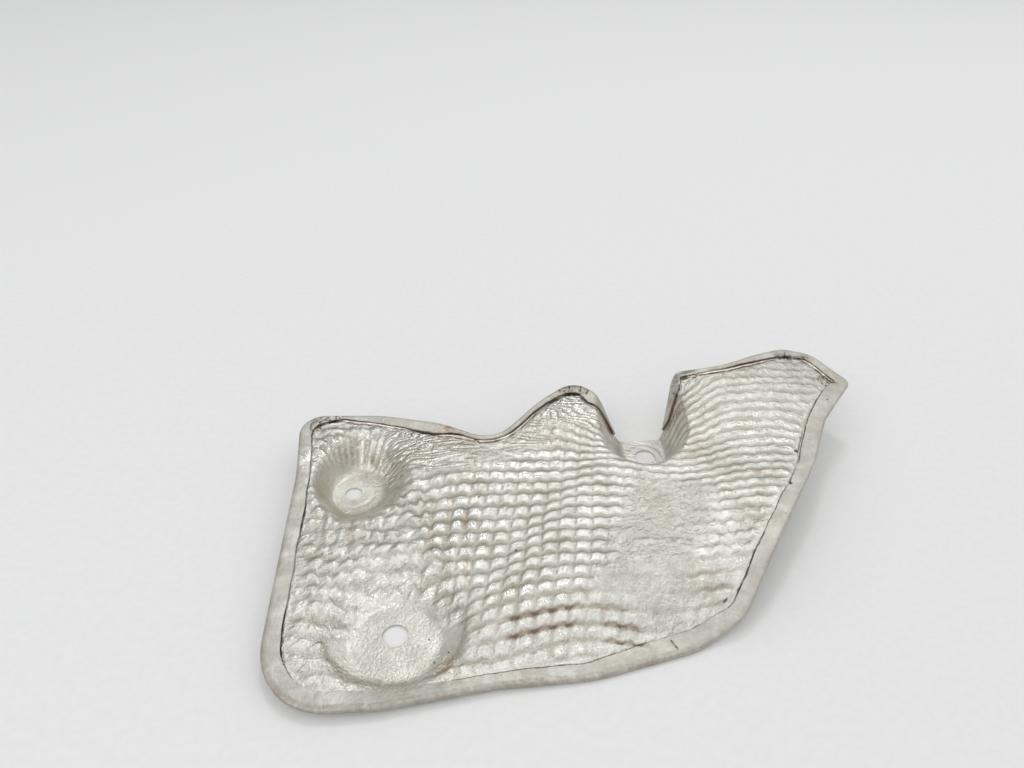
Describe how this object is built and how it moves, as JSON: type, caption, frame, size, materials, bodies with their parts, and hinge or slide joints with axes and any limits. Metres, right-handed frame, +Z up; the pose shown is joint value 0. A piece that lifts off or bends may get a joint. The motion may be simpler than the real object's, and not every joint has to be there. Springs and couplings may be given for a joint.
{
  "type": "exhaust heat shield",
  "caption": "Embossed aluminium exhaust heat shield with a hemmed edge, dished fixing points and a notched fixing tab.",
  "frame": {"origin": "middle of the shield's outline seen from above, at the height of the table it rests on", "axes": "+X along the rows of bumps towards the end with the right lobe, +Y away from the long near edge towards the tab, +Z up out of the face with the folded hem"},
  "size_m": [0.24, 0.1554, 0.0316],
  "materials": {
    "embossed_aluminium": "satin"
  },
  "bodies": {
    "root": {"heat_shield": "embossed_aluminium"}
  },
  "joints": []
}
